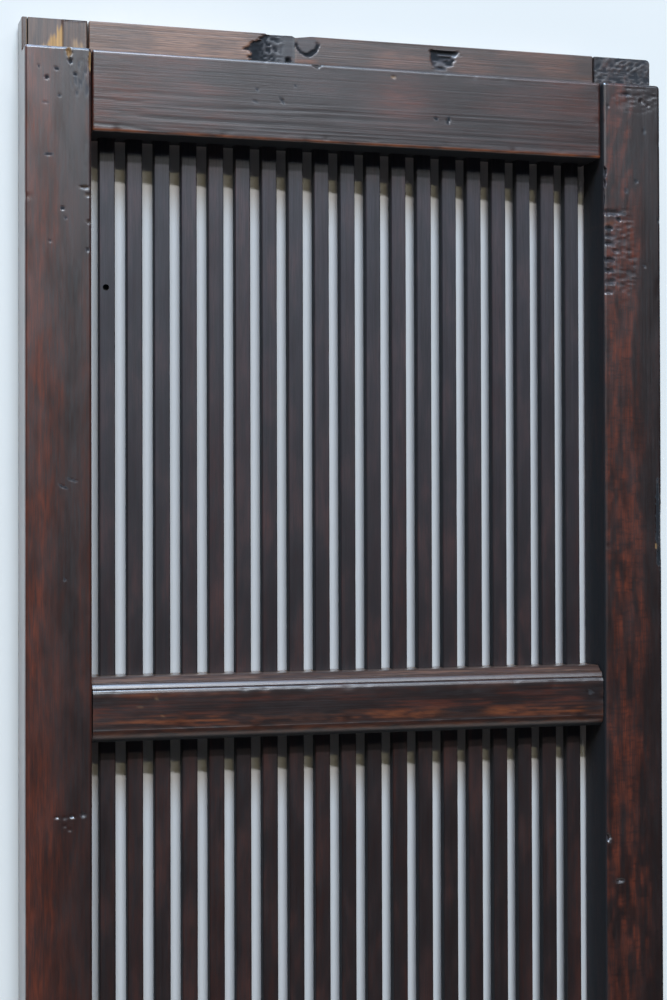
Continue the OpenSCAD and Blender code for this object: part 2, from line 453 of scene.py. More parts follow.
def add_node(tree, kind, inputs=None, **settings):
    """Adds a node, sets it and links or sets its inputs."""
    made = tree.nodes.new(kind)
    for key, value in settings.items():
        setattr(made, key, value)
    for socket, value in (inputs or {}).items():
        if isinstance(value, bpy.types.NodeSocket):
            tree.links.new(value, made.inputs[socket])
        else:
            made.inputs[socket].default_value = value
    return made


def new_material(name):
    """An empty node material and its tree with an output."""
    material = bpy.data.materials.new(name)
    material.use_nodes = True
    tree = material.node_tree
    tree.nodes.clear()
    return material, tree, add_node(tree, "ShaderNodeOutputMaterial")


def grain_scale(along, across_size, along_size):
    """A Mapping scale for features of a real size across and along the grain."""
    return [1 / ((along_size if axis == along else across_size) * MM) for axis in range(3)]


Look = namedtuple("Look", "low high pale dull shiny specular coat coat_dull grain ripple")


def stained_wood(name, along, colours, look):
    """Softwood with a dark stain and a thin worn varnish: fine dark lines along the grain, red-brown
    where the stain has gone, and a broken sheen that is dull where the varnish is rubbed off."""
    material, tree, output = new_material(name)
    spots = add_node(tree, "ShaderNodeTexCoord").outputs["Object"]

    # Noise fields by real size: width across the grain and length along it, in millimetres
    sizes = {
        "rings": (look.grain, 320, 3.0),
        "pores": (0.7, 15, 2.0),
        "clouds": (15, 48, 5.0),
        "flecks": (3.6, 17, 4.0),
        "ripple": (7, 1.7, 2.0),
    }
    fields = {}
    for field, (across_size, along_size, detail) in sizes.items():
        scale = grain_scale(along, across_size, along_size)
        place = add_node(tree, "ShaderNodeMapping", {"Vector": spots, "Scale": scale}).outputs["Vector"]
        noise = {"Vector": place, "Scale": 1.0, "Detail": detail, "Roughness": 0.58}
        fields[field] = add_node(tree, "ShaderNodeTexNoise", noise).outputs["Fac"]

    # Each mask stretches a field from one range to another
    ranges = {
        "open_grain": ("rings", 0.25, 0.75, 0.0, 1.0),
        "dark_pores": ("pores", 0.32, 0.6, 0.65, 0.0),
        "dark_ripple": ("ripple", 0.48, 0.7, 0.0, look.ripple),
        "stray_red": ("clouds", 0.5, 0.74, 0.0, 0.25),
        "red_flecks": ("flecks", 0.32, 0.62, 0.35, 1.0),
        "rub_flecks": ("flecks", 0.34, 0.6, 0.0, 1.0),
        "grain_streaking": ("rings", 0.3, 0.6, 0.5, 1.0),
        "varnish": ("clouds", 0.36, 0.66, look.shiny, look.dull),
    }
    masks = {}
    for mask, (field, low, high, start, end) in ranges.items():
        span = {"Value": fields[field], "From Min": low, "From Max": high, "To Min": start, "To Max": end}
        masks[mask] = add_node(tree, "ShaderNodeMapRange", span).outputs["Result"]

    painted = {}
    for attribute, names in LAYERS.items():
        laid_on = add_node(tree, "ShaderNodeAttribute", None, attribute_name=attribute).outputs["Color"]
        parts = add_node(tree, "ShaderNodeSeparateColor", {"Color": laid_on}).outputs
        painted.update(zip(names, parts))

    # The aged layer also lays painted sheen and highlights, and the rot layer lays painted shade
    layers = (
        (1.0, masks["stray_red"], colours.red),
        (painted["red"], masks["red_flecks"], colours.red),
        (painted["aged_and_sheen"], masks["grain_streaking"], look.pale),
        (painted["dark"], 0.85, colours.stain),
        (1.0, masks["dark_pores"], colours.stain),
        (1.0, masks["dark_ripple"], colours.stain),
        (painted["rub"], masks["rub_flecks"], colours.rubbed),
        (painted["bare"], masks["grain_streaking"], colours.bare),
        (painted["rot"], 1.0, colours.rotten_and_shade),
    )
    ends = {MIX_SHARE: masks["open_grain"], MIX_FROM: (*look.low, 1), MIX_TO: (*look.high, 1)}
    tint = add_node(tree, "ShaderNodeMix", ends, data_type="RGBA").outputs[MIX_RESULT]
    for amount, pattern, shade in layers:
        share = add_node(tree, "ShaderNodeMath", {0: amount, 1: pattern}, operation="MULTIPLY").outputs[0]
        ends = {MIX_SHARE: share, MIX_FROM: tint, MIX_TO: (*shade, 1)}
        tint = add_node(tree, "ShaderNodeMix", ends, data_type="RGBA").outputs[MIX_RESULT]

    # Dullness, soundness of the varnish and height of the ridges, each a weighted sum
    dulled_by = ((masks["dark_pores"], 0.1), (painted["bare"], 0.35), (painted["rot"], 0.65))
    lost_by = ((painted["bare"], -1.0), (painted["rot"], -1.5), (painted["aged_and_sheen"], -0.6))
    ridged_by = (("rings", 0.65), ("pores", 0.25), ("ripple", 0.4 * look.ripple))
    ridged_by = [(fields[field], weight) for field, weight in ridged_by]
    sums = []
    starts = ((masks["varnish"], dulled_by, False), (1.0, lost_by, True), (0.0, ridged_by, False))
    for total, terms, clamp in starts:
        for amount, weight in terms:
            inputs = {0: amount, 1: weight, 2: total}
            made = add_node(tree, "ShaderNodeMath", inputs, operation="MULTIPLY_ADD", use_clamp=clamp)
            total = made.outputs[0]
        sums.append(total)
    dull, sound, ridges = sums
    coat = add_node(tree, "ShaderNodeMath", {0: sound, 1: look.coat}, operation="MULTIPLY").outputs[0]

    relief = {"Height": ridges, "Strength": 0.3, "Distance": 0.4 * MM}
    shader = {
        "Base Color": tint,
        "Roughness": dull,
        "Normal": add_node(tree, "ShaderNodeBump", relief).outputs["Normal"],
        "Specular IOR Level": look.specular,
        "Specular Tint": (0.82, 0.91, 1.0, 1),
        "Coat Weight": coat,
        "Coat Roughness": look.coat_dull,
    }
    surface = add_node(tree, "ShaderNodeBsdfPrincipled", shader)
    tree.links.new(surface.outputs["BSDF"], output.inputs["Surface"])
    return material


def stile_wood(colours, name, ripple):
    """Stiles: handled for years, so the varnish still shines; one has a rippled figure."""
    look = Look(colours.stain, colours.brown, colours.aged_and_sheen, 0.38, 0.3, 1.0, 1.0, 0.31, 1.5, ripple)
    return stained_wood(name, Z, colours, look)


def rail_wood(colours):
    """Rails: fine level grain lines under the same worn varnish, one material for all of them."""
    if "stained_softwood_level" in bpy.data.materials:
        return bpy.data.materials["stained_softwood_level"]
    look = Look(colours.stain, colours.brown, colours.aged_and_sheen, 0.38, 0.3, 1.0, 1.0, 0.31, 1.1, 0.0)
    return stained_wood("stained_softwood_level", X, colours, look)


def slat_wood(colours):
    """Slats: the same stain without varnish, dull and nearly even, with a grey bloom towards the top that is
    partly dust and partly painted sheen.
    """
    look = Look(colours.slat, colours.stain, colours.dust_and_sheen, 0.44, 0.37, 0.85, 0.0, 0.3, 1.8, 0.0)
    return stained_wood("stained_softwood_slat", Z, colours, look)


def board(name, tone, see_through_behind):
    """Matt painted board; it can be made to cast no shadow and be clear from behind."""
    material, tree, output = new_material(name)
    spots = add_node(tree, "ShaderNodeTexCoord").outputs["Object"]
    cloud = {"Vector": spots, "Scale": 3.0, "Detail": 3.0}
    mottle = add_node(tree, "ShaderNodeTexNoise", cloud).outputs["Fac"]
    shade = {"Value": mottle, "To Min": 0.96, "To Max": 1.03}
    level = add_node(tree, "ShaderNodeMapRange", shade).outputs["Result"]
    tint = add_node(tree, "ShaderNodeVectorMath", {0: tone, "Scale": level}, operation="SCALE")
    matt = {"Base Color": tint.outputs["Vector"], "Roughness": 0.85}
    surface = add_node(tree, "ShaderNodeBsdfPrincipled", matt).outputs["BSDF"]
    if see_through_behind:
        behind = add_node(tree, "ShaderNodeNewGeometry").outputs["Backfacing"]
        shadow = add_node(tree, "ShaderNodeLightPath").outputs["Is Shadow Ray"]
        hidden = add_node(tree, "ShaderNodeMath", {0: behind, 1: shadow}, operation="MAXIMUM")
        clear = add_node(tree, "ShaderNodeBsdfTransparent").outputs["BSDF"]
        parts = {0: hidden.outputs[0], 1: surface, 2: clear}
        surface = add_node(tree, "ShaderNodeMixShader", parts).outputs["Shader"]
    tree.links.new(surface, output.inputs["Surface"])
    return material


# Pieces


def finish_piece(piece, node, material):
    """Dresses a finished piece and lets it stand for its frame node."""
    piece.data.materials.clear()
    piece.data.materials.append(material)
    select_only(piece)
    bpy.ops.object.shade_smooth_by_angle(angle=SMOOTH_ANGLE)
    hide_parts(node)
    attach(piece, "root")


def tenon_box(leaf, node, gap):
    """The cuboid through both tenons of a rail, grown by a gap."""
    low, high = box_mm(node)
    front = CAD_BOX[0][Y] / MM + leaf.tenon_setback / MM
    bottom = low[Z] + leaf.tenon_shoulder / MM
    top = high[Z] - leaf.tenon_shoulder / MM
    if node == "top_rail":
        top -= leaf.tongue_height / MM
    end_room = gap * 5
    start = (low[X] - end_room, front - gap, bottom - gap)
    end = (high[X] + end_room, front + leaf.tenon_thickness / MM + gap, top + gap)
    return start, end


def rail_end(leaf):
    """Half the length of a rail between its shoulders."""
    return -box_mm("left_stile")[1][X] - leaf.shoulder_gap / MM


def copy_piece(pattern, name, shift):
    """A copy of a pattern piece with its own mesh, set at its place."""
    select_only(pattern)
    bpy.ops.object.duplicate(linked=False)
    piece = bpy.context.object
    piece.name = piece.data.name = name
    bpy.ops.transform.translate(value=[distance * MM for distance in shift])
    bpy.ops.object.transform_apply(location=True, rotation=True, scale=True)
    return piece


# Marks on the front faces: place, half sizes and depth in millimetres, shares of rot and of bare
# wood, and lean
STILE_SCARS = {
    "left_stile": [
        Scar(-206, 1658, 1.0, 1.0, 0.9, 0.9),
        Scar(-211, 1665, 0.6, 0.7, 0.25, 0.8),
        Scar(-200, 1664, 1.4, 0.7, 0.3, 0.9),
        Scar(-188, 1661, 0.9, 0.9, 0.7, 1.0),
        Scar(-192, 1675, 1.5, 3.2, 1.6, 0.3, 0.6),
        Scar(-191, 1669.5, 0.9, 2.0, 1.2, 0.9),
        Scar(-178.3, 1670, 1.0, 5.5, 1.2, 0.1, 0.8),
        Scar(-198, 1647, 0.7, 0.8, 0.35, 0.8),
        Scar(-207, 1642, 1.6, 0.6, 0.15, 0.5),
        Scar(-205, 1609, 2.4, 0.8, 0.2, 0.8),
        Scar(-196, 1575, 1.1, 1.2, 0.9, 0.9),
        Scar(-194, 1569, 0.8, 0.9, 0.4, 0.7),
        Scar(-204, 1554, 0.8, 0.9, 0.5, 0.8),
        Scar(-182, 1589, 4.0, 0.9, 0.8, 0.3, 0.1),
        Scar(-179, 1584, 2.8, 0.9, 0.8, 0.3, 0.1),
        Scar(-179, 1567, 2.2, 1.0, 0.8, 0.5, 0.1),
        Scar(-180, 1549, 1.2, 1.2, 0.6, 0.5),
        Scar(-189.5, 1402, 1.5, 1.0, 0.35, 0.6, 0, -1.6),
        Scar(-196, 1398, 1.2, 1.0, 0.35, 0.8, 0, -1.4),
        Scar(-195, 1339, 0.8, 0.9, 0.4, 0.8),
        Scar(-200, 1188.5, 2.2, 1.0, 0.7, 0.1),
        Scar(-195, 1188, 1.4, 0.9, 0.7, 0.2),
        Scar(-190.5, 1188.5, 2.7, 0.9, 0.8, 0.1),
        Scar(-183.5, 1189.5, 2.0, 1.8, 0.9, 0.3),
        Scar(-195, 1183, 1.0, 1.1, 0.6, 0.1),
        Scar(-192, 1180.5, 1.7, 1.1, 0.6, 0.1),
    ],
    "right_stile": [
        Scar(177.5, 1617, 2.2, 3.6, 2.2, 0.8),
        Scar(177.5, 1609, 1.6, 3.0, 1.6, 0.7),
        Scar(177, 1599, 1.2, 9.0, 0.9, 0.4),
        Scar(183, 1588.5, 9.0, 2.0, 1.3, 0.55),
        Scar(188.5, 1584, 1.8, 1.6, 1.6, 0.9),
        Scar(181.5, 1577.5, 3.4, 1.5, 1.6, 0.85),
        Scar(182, 1572, 5.0, 1.3, 0.7, 0.5),
        Scar(181, 1567, 4.6, 1.3, 1.0, 0.6),
        Scar(186, 1562, 2.4, 1.3, 0.9, 0.5),
        Scar(181.5, 1556, 4.2, 1.7, 1.5, 0.8),
        Scar(181, 1548.5, 4.0, 1.6, 1.4, 0.8),
        Scar(182, 1540.5, 4.8, 2.0, 1.0, 0.6),
        Scar(180.5, 1533.5, 3.4, 1.5, 0.9, 0.5),
        Scar(202, 1611, 1.2, 1.1, 0.6, 0.7),
        Scar(194, 1604, 1.2, 1.6, 0.3, 0.6),
        Scar(208, 1552, 1.0, 1.0, 0.4, 0.6),
        Scar(219, 1584, 1.6, 2.0, 0.7, 0.4),
        Scar(217, 1379, 1.1, 24, 1.0, 0.95),
        Scar(217.6, 1351, 1.3, 6, 1.1, 0.95),
        Scar(216.2, 1358, 1.0, 1.8, 0.3, 0.1, 0.6),
        Scar(178, 1158, 2.8, 3.2, 2.2, 0.2),
        Scar(187, 1128, 3.4, 1.6, 1.0, 0.3),
        Scar(220, 1369, 1.4, 22.0, 1.4, 0.6),
        Scar(194, 1671, 3.6, 0.9, 0.8, 0.6),
        Scar(181, 1662, 1.0, 1.1, 0.4, 0.3),
        Scar(206, 1667, 1.8, 2.2, 0.5, 0.0),
        Scar(211, 1664, 1.4, 1.4, 0.5, 0.0),
        Scar(208, 1646, 0.8, 2.6, 0.4, 0.4),
    ],
}

TOP_RAIL_SCARS = [
    Scar(-43.5, 1683, 1.7, 2.2, 2.6, 1.0),
    Scar(-27, 1677.5, 3.2, 1.8, 1.0, 0.6, 0.1),
    Scar(-68, 1659, 0.9, 0.8, 0.3, 0.6),
    Scar(-51, 1652.5, 0.7, 2.4, 0.7, 0.6, 0, -1.8),
    Scar(-69, 1651, 1.3, 0.7, 0.3, 0.5, 0, -0.6),
    Scar(-42, 1663, 0.8, 0.7, 0.2, 0.6),
    Scar(26, 1673, 1.8, 0.9, 0.3, 0.0, 0.25),
    Scar(56, 1647, 1.5, 0.9, 0.5, 1.0, 0, -0.5),
    Scar(65, 1646, 0.7, 2.2, 0.5, 1.0, 0, 1.0),
]

MID_RAIL_SCARS = [
    Scar(-146, 1257, 0.9, 0.7, 0.3, 0.0, 0.2),
    Scar(-135, 1262, 0.9, 0.7, 0.3, 0.0, 0.15),
    Scar(-132, 1250, 0.6, 0.6, 0.3, 0.0, 1.0),
    Scar(167, 1258, 1.6, 1.2, 0.5, 0.5),
]

# Torn patches: place, half sizes and depth, width and height of the torn fibres, share of rot
TEARS = {
    "left_stile": [Tear(-184, 1658, 8, 14, 0.1, 0.9, 3.6, 0.45)],
    "right_stile": [
        Tear(202, 1668, 20, 11, 0.18, 4.0, 1.6, 0.1),
        Tear(192, 1560, 12, 38, 0.2, 4.0, 1.4, 0.2),
    ],
}


def cross_cuts(bottom, top, marks, close=3.6, wide=40):
    """Heights to cut a stile at: close together beside its marks and wide apart elsewhere."""
    margin = 2
    heights = [bottom]
    while heights[-1] < top - wide:
        reach = heights[-1] + wide
        marked = any(
            mark.z - mark.half_height - margin < reach
            and mark.z + mark.half_height + margin > heights[-1]
            for mark in marks
        )
        heights.append(heights[-1] + (close if marked else wide))
    return [*heights[1:], *spread(heights[-1], top, math.ceil((top - heights[-1]) / close))]


def build_stile(node, leaf, wear, material, seed):
    """A stile with its tongues, bevelled, worn and mortised."""
    low, high = box_mm(node)
    foot = leaf.foot_height / MM
    shoulder = high[Z] - leaf.tongue_height / MM
    step = low[Y] + leaf.tongue_setback / MM
    piece = start_block(f"{node}_wood", (low[X], low[Y], foot), (high[X], high[Y], shoulder))
    cut(X, spread(low[X], high[X], cells=12))
    cut(Y, [(low[Y] + step) / 2, step, (step + high[Y]) / 2])
    pull(lambda face: spot(face, Z) > shoulder - NEAR and spot(face, Y) > step, Z, high[Z] - shoulder)
    pull(lambda face: spot(face, Z) < foot + NEAR and spot(face, Y) > step, Z, -foot)
    cut(Z, cross_cuts(foot, shoulder, STILE_SCARS[node] + TEARS[node]))
    cut(Z, spread(shoulder, high[Z], cells=TONGUE_ROWS))
    arris = wear.arris / MM
    if node == "right_stile":
        corner_heights = (shoulder, high[Z])
        round_edges(
            lambda edge: spot(edge, X) > high[X] - NEAR
            and min(abs(spot(edge, Z) - height) for height in corner_heights) < NEAR,
            wear.corner / MM,
            segments=4,
        )
    round_edges(lambda edge: spot(edge, Z) < shoulder + NEAR, arris, segments=2)
    round_edges(lambda edge: spot(edge, Z) > shoulder + NEAR, arris * SHELTERED, segments=1)
    close_block(piece, levels=2)
    surface = Surface(piece)
    planes = ([low[X], high[X]], [low[Y], high[Y]], [shoulder, foot])
    surface.age(Z, planes, wear, seed)
    if node == "left_stile":
        tone_left_stile(surface, shoulder, high[Z], seed)
    else:
        tone_right_stile(surface, shoulder, seed)
    surface.scar(STILE_SCARS[node], seed + 11)
    surface.tear(TEARS[node], seed + 31)
    surface.apply()
    cuts = [tenon_box(leaf, rail, leaf.mortise_gap / MM) for rail in RAILS]
    if node == "left_stile":
        # A split down the front of the tongue, near its outer end
        split, split_width = low[X] + 3.4, 0.7
        split_top = (split + split_width, step + 7, high[Z] + PROUD)
        cuts.append(((split, step - 3, shoulder), split_top))
    combine(piece, boxes_object("mortise", cuts), "DIFFERENCE")
    finish_piece(piece, node, material)


def tone_left_stile(surface, shoulder, top, seed):
    """Red-brown outer half and dark inner half; its tongue has a step and fresh wood beside it."""
    points = surface.points
    x, _, z = points.T
    drift = 14 * (fibre_noise(points, Z, 18, 130, seed + 41) - 0.5)
    drift += 9 * (fibre_noise(points, Z, 9, 16, seed + 44) - 0.5)
    drift += 5 * (fibre_noise(points, Z, 3, 24, seed + 42) - 0.5)
    place = x + drift
    smudge = smooth(fibre_noise(points, Z, 9, 28, seed + 43), 0.62, 0.86)
    surface.red = 0.85 * smooth(-place, 178, 216) * (1 - 0.3 * smudge) + 0.3 * smooth(place, -184, -178)
    surface.red *= 0.5 + fibre_noise(points, Z, 1.8, 26, seed + 45)
    surface.dark = np.maximum(0.5 * smooth(place, -210, -184) * smooth(-place, 177, 186), 0.15 * smudge)
    tongue = smooth(z, shoulder + 0.2, shoulder + 1)
    facing = tongue * (surface.normals[:, Y] < -0.5)
    streaks = fibre_noise(points, Z, 1.1, 16, 31)
    surface.red *= 1 - tongue
    surface.dark *= 1 - tongue
    surface.aged_and_sheen = tongue * (0.2 + 0.25 * streaks)
    left_of_step = smooth(-x, 193.3, 193.8)
    surface.inward += facing * (1 - left_of_step) * 0.6
    height = (z - shoulder) / (top - shoulder)
    reach = np.clip((x + 212) / 18, 0, 1) ** 1.3 * 0.85
    patch = left_of_step * smooth(reach * (0.55 + 0.9 * streaks) - height, -0.02, 0.2)
    second = (1 - left_of_step) * smooth(0.7 * streaks + 0.05 - height, -0.05, 0.25)
    second *= smooth(x, -189, -185) * smooth(-x, 179, 181)
    surface.lay("bare", facing * np.maximum(0.95 * patch, 0.45 * second))


def tone_right_stile(surface, shoulder, seed):
    """Slanting red streaks over dark wood, a plain outer third, an orange chip, a curly tongue and painted
    shade on the inner side face.
    """
    x, _, z = surface.points.T
    slanted = surface.points.copy()
    slanted[:, X] -= 0.2 * np.clip(z - 1540, 0, None)
    streaks = fibre_noise(slanted, Z, 5, 55, seed + 41) + 0.45 * fibre_noise(slanted, Z, 2.2, 14, seed + 42)
    wander = 14 * (fibre_noise(slanted, Z, 8, 34, seed + 43) - 0.5)
    inside = smooth(wander - x, -212, -200)
    mottle = fibre_noise(slanted, Z, 3, 7, seed + 44)
    sparse = 0.14 * smooth(z, 1560, 1640)
    figure = smooth(streaks + 0.4 * (mottle - 0.5) - sparse, 0.3, 1.0)
    surface.red = figure * inside * (0.6 + 0.6 * mottle)
    surface.dark = 0.5 * (1 - surface.red)
    across, up = x - 182, z - 1581
    surface.lay("rub", 0.95 * hill(across / 5, (up - 0.25 * across) / 1.6))
    tongue = smooth(z, shoulder + 0.3, shoulder + 1.2)
    surface.red *= 1 - 0.7 * tongue
    curl = 5 * lattice_noise(surface.points / (9, 9, 6), 51)
    fuzz = lattice_noise((surface.points + curl[:, None]) / (2.6, 2.6, 1.3), 53)
    surface.inward += 0.45 * tongue * smooth(-surface.normals[:, Y], 0.2, 0.6) * (fuzz - 0.5)
    surface.lay("rot", tongue * (0.15 + 0.6 * smooth(fuzz, 0.4, 0.7)))
    # Painted shade: the inner side face, towards the slats, is darkened
    side = smooth(-surface.normals[:, X], 0.6, 0.95) * (1 - tongue)
    surface.lay("rot", 0.8 * side)


def build_end_rail(node, leaf, wear, material, seed):
    """The top or bottom rail: a plain bevelled bar with its track tongue and tenons."""
    low, high = box_mm(node)
    is_top = node == "top_rail"
    end = rail_end(leaf)
    step = CAD_BOX[0][Y] / MM + leaf.tongue_setback / MM
    shoulder = high[Z] - leaf.tongue_height / MM if is_top else leaf.foot_height / MM
    bottom, top = (low[Z], shoulder) if is_top else (shoulder, high[Z])
    piece = start_block(f"{node}_wood", (-end, low[Y], bottom), (end, high[Y], top))
    cut(Y, [low[Y] + 4, low[Y] + 8, step, (step + high[Y]) / 2])
    if is_top:
        pull(lambda face: spot(face, Z) > top - NEAR and spot(face, Y) > step, Z, high[Z] - top)
        cut(Z, spread(top, high[Z], cells=TONGUE_ROWS))
    else:
        pull(lambda face: spot(face, Z) < bottom + NEAR and spot(face, Y) > step, Z, low[Z] - bottom)
    cut(Z, spread(bottom, top, cells=15))
    cut(X, spread(-end, end, cells=90 if is_top else 24))

    def at_face(edge):
        return spot(edge, Y) < step - 0.5

    round_edges(at_face, wear.arris / MM, segments=3)
    round_edges(lambda edge: not at_face(edge), wear.arris / MM * SHELTERED, segments=1)
    close_block(piece, levels=2)
    surface = Surface(piece)
    planes = ([-end, end], [low[Y], high[Y]], [bottom, top])
    surface.age(X, planes, wear, seed)
    if is_top:
        tone_top_rail(surface, bottom, top, seed)
        dead_knot(surface, high[Z])
        chipped_spot(surface, high[Z])
        surface.scar(TOP_RAIL_SCARS, seed + 11)
    surface.apply()
    combine(piece, boxes_object("tenon", [tenon_box(leaf, node, 0)]), "UNION")
    span = (bottom - PROUD, bottom + SLAT_MORTISE) if is_top else (top - SLAT_MORTISE, top + PROUD)
    slots = slat_slots(leaf, span)
    combine(piece, boxes_object("slot", slots), "DIFFERENCE")
    finish_piece(piece, node, material)


def tone_top_rail(surface, bottom, top, seed):
    """Red patches at the left and right of a grey middle, a rubbed lower arris, a dry tongue and painted
    shade on the underside.
    """
    points = surface.points
    x, _, z = points.T
    front = -surface.normals[:, Y]
    drift = fibre_noise(points, X, 9, 50, seed + 41) - 0.5
    left = smooth(-x + 60 * drift, 75, 125)
    patch = hill((x - 32) / 20, (z - 1657) / 14)
    right = 0.5 * smooth(x + 80 * drift, 80, 150)
    on_tongue = smooth(z, top + 0.2, top + 1)
    mottle = smooth(fibre_noise(points, X, 10, 30, seed + 44), 0.35, 0.75)
    red = np.maximum(np.maximum(0.8 * left, right) * (0.3 + 0.7 * mottle), 0.8 * patch)
    surface.red = np.maximum(red * (1 - on_tongue), 0.5 * mottle * on_tongue)
    surface.inward *= 1 - 0.6 * smooth(z, bottom + 22, bottom + 34) * (1 - on_tongue)
    bowed = points + 5 * (fibre_noise(points, X, 60, 110, seed + 46)[:, None] - 0.5)
    lines = smooth(fibre_noise(bowed, X, 1.0, 190, seed + 45), 0.5, 0.75)
    lines *= smooth(-z, -bottom - 32, -bottom - 20) * (front > 0.9)
    surface.inward += 0.05 * lines
    surface.dark = 0.7 * lines
    surface.rub = 0.95 * smooth(-z, -bottom - 2.8, -bottom - 1.2) * (front > 0.25)
    # Painted shade: the rail's downward faces are darkened
    surface.rot = 0.85 * smooth(-surface.normals[:, Z], 0.9, 0.98)
    near_step = hill((x + 5) / 30) * smooth(-z, -top - 4.5, -top - 2)
    surface.lay("rub", 0.6 * on_tongue * near_step)
    foot_line = hill((z - top - 3.4) / 0.6) * smooth(x, -14, 0)
    surface.lay("rot", 0.5 * foot_line)
    dry = 0.3 + 0.65 * smooth(-x, 40, 80)
    surface.aged_and_sheen = on_tongue * dry * (0.6 + 0.5 * mottle)


def dead_knot(surface, top):
    """A dead knot in the tongue: a rotted hollow with frayed ends, then a grey disc in a black crack."""
    points, facing = surface.points, surface.facing
    across, up = points[:, X], points[:, Z] - top
    frayed = 11 * (fibre_noise(points, X, 1.3, 9, 41) - 0.5)
    hollow = smooth(across + frayed - 11 * smooth(up, -9, 0), -70.5, -68.5) * smooth(-across, 38.2, 39.2)
    hollow *= facing * smooth(up, -20.6, -19.6)
    rotted = hollow * smooth(-across, 44, 56)
    grit = lattice_noise(points / (1.6, 1.6, 1.3), 43)
    surface.inward += 0.6 * hollow + 1.0 * rotted * grit
    black = hill((across + 66) / 5) + smooth(grit, 0.45, 0.7)
    surface.lay("rot", 0.25 * hollow + rotted * (0.15 + 0.6 * black))
    surface.aged_and_sheen *= 1 - hollow
    surface.red *= 1 - hollow
    surface.lay("dark", 0.5 * hollow)
    wide, high = across + 30.3, up + 5
    radius = np.hypot(wide, high)
    disc = smooth(-radius, -7.4, -6.4) * facing
    surface.aged_and_sheen *= 1 - 0.7 * disc
    surface.lay("rot", 0.15 * disc)
    wobble = 1.6 * lattice_noise(points / 2.4, 45)
    width = 0.35 + 0.75 * hill((wide - 2.5) / 3.5)
    beside = width - np.abs(radius - 6.4 - wobble)
    low_half = smooth(-high, -2.0, 1.0) * facing
    surface.inward += 0.8 * smooth(beside, -0.3, 0.3) * low_half
    surface.lay("rot", smooth(beside, -1.4, -0.2) * low_half)
    chips = hill(wide / 9, (up + 17) / 2.6)
    chips *= smooth(fibre_noise(points, X, 1.6, 6, 46), 0.4, 0.6)
    surface.lay("rub", 0.9 * chips * facing)
    worn = smooth(across, -39.6, -38.8) * np.clip((-27 - across) / 12, 0, 1)
    points[:, Z] -= 1.6 * worn * smooth(up, -3, 0)


def chipped_spot(surface, top):
    """A wedge chipped out of the tongue, deepest under its upper edge."""
    points = surface.points
    across, up = points[:, X], points[:, Z] - top
    ragged = 7 * (lattice_noise(points / (4, 4, 1.8), 47) - 0.5)
    slant = 80 + 0.85 * (up + 3.7)
    wedge = smooth(up + 0.4 * ragged, -17.6, -15.5) * smooth(-up, 3.3, 4.1) * surface.facing
    wedge *= smooth(across + ragged, 57, 59) * smooth(slant - across + ragged, 0, 6)
    deep = smooth(up, -16, -4)
    ledges = smooth(lattice_noise(points / (5, 4, 1.5), 48), 0.35, 0.65)
    surface.inward += wedge * ((0.3 + 0.8 * deep) + 0.7 * ledges)
    stained = smooth(wedge, 0.02, 0.3) * np.maximum(smooth(up, -8, -4.5), 0.4 + 0.6 * ledges)
    surface.lay("rot", stained)
    surface.aged_and_sheen *= 1 - wedge


def slat_slots(leaf, span):
    """The cuboids that take the slats, over a span of height."""
    gap = leaf.slot_gap / MM
    slots = []
    for name in SLATS:
        low, high = box_mm(name)
        slots.append(((low[X] - gap, low[Y] - gap, span[0]), (high[X] + gap, high[Y] + gap, span[1])))
    return slots


def moulding_rows(leaf, height):
    """Rows of the mid rail's front, as height above its bottom and depth behind its face."""
    under, flat = leaf.under_round / MM, leaf.face_height / MM
    bead, ovolo = leaf.bead / MM, leaf.ovolo / MM
    quirk, run = leaf.quirk / MM, leaf.slope_run / MM
    lip = 0.05
    rows = []
    for angle in (5, 18, 32, 46, 60, 74, 88):
        turn = math.radians(angle)
        rows.append((under * (1 - math.cos(turn)), under * (1 - math.sin(turn))))
    z = under
    # Old varnish fills the lowest groove nearly to the face
    filled = quirk * 0.15
    rows += [(z, 0.0), (z + lip, filled), (z + quirk - lip, filled), (z + quirk, 0.0)]
    z += quirk + flat
    rows.append((z, 0.0))
    for angle in (-80, -45, -15, 15, 45, 80):
        turn = math.radians(angle)
        rise = bead + bead * math.sin(turn)
        rounding = 0.5 * bead * (1 - math.cos(turn)) if angle > 0 else 0.0
        rows.append((z + rise, rounding + 0.25 * rise))
    z += 2 * bead
    rows += [(z + lip, bead + quirk), (z + quirk - lip, bead + quirk)]
    z += quirk
    worn_flat = ((0.02, 0), (0.2, 0.05), (0.4, 0.125), (0.6, 0.22), (0.76, 0.33), (0.88, 0.46), (0.96, 0.68))
    for rise, back in worn_flat:
        rows.append((z + ovolo * rise, bead + ovolo * back))
    z += ovolo
    rows += [(z + lip, bead + ovolo + quirk), (z + quirk - lip, bead + ovolo + quirk)]
    rows.append((z + quirk, bead + ovolo))
    rows.append(((z + quirk + height) / 2, bead + ovolo + run / 2))
    return rows, bead + ovolo + run


